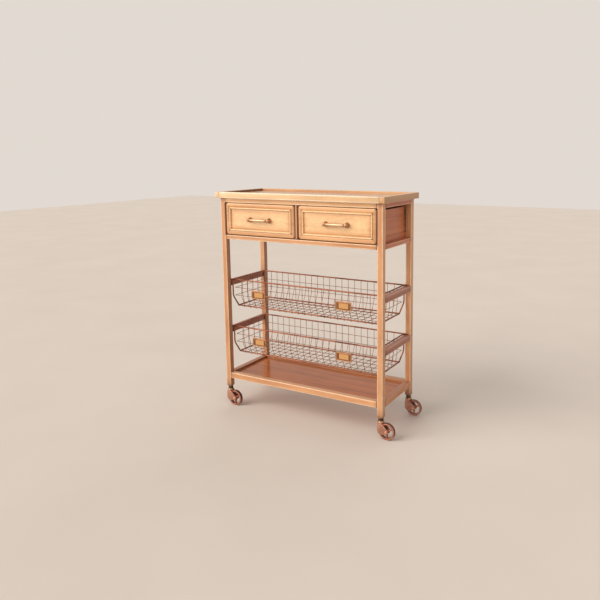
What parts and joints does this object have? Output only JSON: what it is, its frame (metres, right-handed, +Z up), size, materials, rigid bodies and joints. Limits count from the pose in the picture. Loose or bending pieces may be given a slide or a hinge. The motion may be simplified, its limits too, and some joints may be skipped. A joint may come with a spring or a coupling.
{
  "type": "kitchen trolley",
  "caption": "Narrow wooden kitchen trolley on swivel casters with drawers under a rimmed tray, hanging wire baskets with label holders and a bottom shelf.",
  "frame": {"origin": "on the floor under the middle of the overall box", "axes": "+Z up, +Y from the drawer fronts to the back, +X to the right seen from the front"},
  "size_m": [0.689, 0.27, 0.785],
  "materials": {
    "frame_wood": "honey-brown stain under satin varnish, darker in the recesses",
    "inner_wood": "honey-brown stain, thinly varnished",
    "basket_wire": "antique copper finish on steel wire",
    "label_metal": "aged brass",
    "card": "plain unprinted card",
    "pull_metal": "antique bronze, rubbed bright on the edges",
    "caster_metal": "antique copper finish",
    "caster_wheel": "antique copper finish, worn on the tread"
  },
  "bodies": {
    "frame": {"basket_rail_lower_left": "frame_wood", "basket_rail_lower_right": "frame_wood", "basket_rail_upper_left": "frame_wood", "basket_rail_upper_right": "frame_wood", "case_back": "inner_wood", "case_rail_front_lower": "frame_wood", "case_rail_front_upper": "frame_wood", "case_rail_left_lower": "frame_wood", "case_rail_left_upper": "frame_wood", "case_rail_right_lower": "frame_wood", "case_rail_right_upper": "frame_wood", "drawer_partition": "frame_wood", "drawer_runners": "inner_wood", "label_cards": "card", "label_holders": "label_metal", "lower_basket_frame": "basket_wire", "lower_basket_mesh": "basket_wire", "post_front_left": "frame_wood", "post_front_right": "frame_wood", "post_rear_left": "frame_wood", "post_rear_right": "frame_wood", "shelf_cleats": "inner_wood", "shelf_floor": "frame_wood", "shelf_rail_front": "frame_wood", "shelf_rail_left": "frame_wood", "shelf_rail_rear": "frame_wood", "shelf_rail_right": "frame_wood", "tray_floor": "frame_wood", "tray_rim_front": "frame_wood", "tray_rim_left": "frame_wood", "tray_rim_rear": "frame_wood", "tray_rim_right": "frame_wood", "upper_basket_frame": "basket_wire", "upper_basket_mesh": "basket_wire"},
    "drawer_left": {"drawer_left_back": "inner_wood", "drawer_left_bottom": "inner_wood", "drawer_left_front": "frame_wood", "drawer_left_pull": "pull_metal", "drawer_left_sides": "inner_wood"},
    "drawer_right": {"drawer_right_back": "inner_wood", "drawer_right_bottom": "inner_wood", "drawer_right_front": "frame_wood", "drawer_right_pull": "pull_metal", "drawer_right_sides": "inner_wood"},
    "caster_front_left": {"caster_front_left_fork": "caster_metal"},
    "wheel_front_left": {"caster_front_left_wheel": "caster_wheel"},
    "caster_front_right": {"caster_front_right_fork": "caster_metal"},
    "wheel_front_right": {"caster_front_right_wheel": "caster_wheel"},
    "caster_rear_left": {"caster_rear_left_fork": "caster_metal"},
    "wheel_rear_left": {"caster_rear_left_wheel": "caster_wheel"},
    "caster_rear_right": {"caster_rear_right_fork": "caster_metal"},
    "wheel_rear_right": {"caster_rear_right_wheel": "caster_wheel"}
  },
  "joints": [
    {"name": "drawer_left_slide", "type": "slide", "parent": "frame", "child": "drawer_left", "axis": [0, -1, 0], "range_m": [0, 0.15]},
    {"name": "drawer_right_slide", "type": "slide", "parent": "frame", "child": "drawer_right", "axis": [0, -1, 0], "range_m": [0, 0.15]},
    {"name": "caster_front_left_swivel", "type": "hinge", "parent": "frame", "child": "caster_front_left", "pos_m": [-0.322, -0.1105, 0.072], "axis": [0, 0, 1], "continuous": true},
    {"name": "wheel_front_left_roll", "type": "hinge", "parent": "caster_front_left", "child": "wheel_front_left", "pos_m": [-0.3005, -0.1105, 0.028], "axis": [0, 1, 0], "continuous": true},
    {"name": "caster_front_right_swivel", "type": "hinge", "parent": "frame", "child": "caster_front_right", "pos_m": [0.295, -0.1105, 0.072], "axis": [0, 0, 1], "continuous": true},
    {"name": "wheel_front_right_roll", "type": "hinge", "parent": "caster_front_right", "child": "wheel_front_right", "pos_m": [0.3165, -0.1105, 0.028], "axis": [0, 1, 0], "continuous": true},
    {"name": "caster_rear_left_swivel", "type": "hinge", "parent": "frame", "child": "caster_rear_left", "pos_m": [-0.322, 0.1105, 0.072], "axis": [0, 0, 1], "continuous": true},
    {"name": "wheel_rear_left_roll", "type": "hinge", "parent": "caster_rear_left", "child": "wheel_rear_left", "pos_m": [-0.3005, 0.1105, 0.028], "axis": [0, 1, 0], "continuous": true},
    {"name": "caster_rear_right_swivel", "type": "hinge", "parent": "frame", "child": "caster_rear_right", "pos_m": [0.295, 0.1105, 0.072], "axis": [0, 0, 1], "continuous": true},
    {"name": "wheel_rear_right_roll", "type": "hinge", "parent": "caster_rear_right", "child": "wheel_rear_right", "pos_m": [0.3165, 0.1105, 0.028], "axis": [0, 1, 0], "continuous": true}
  ]
}
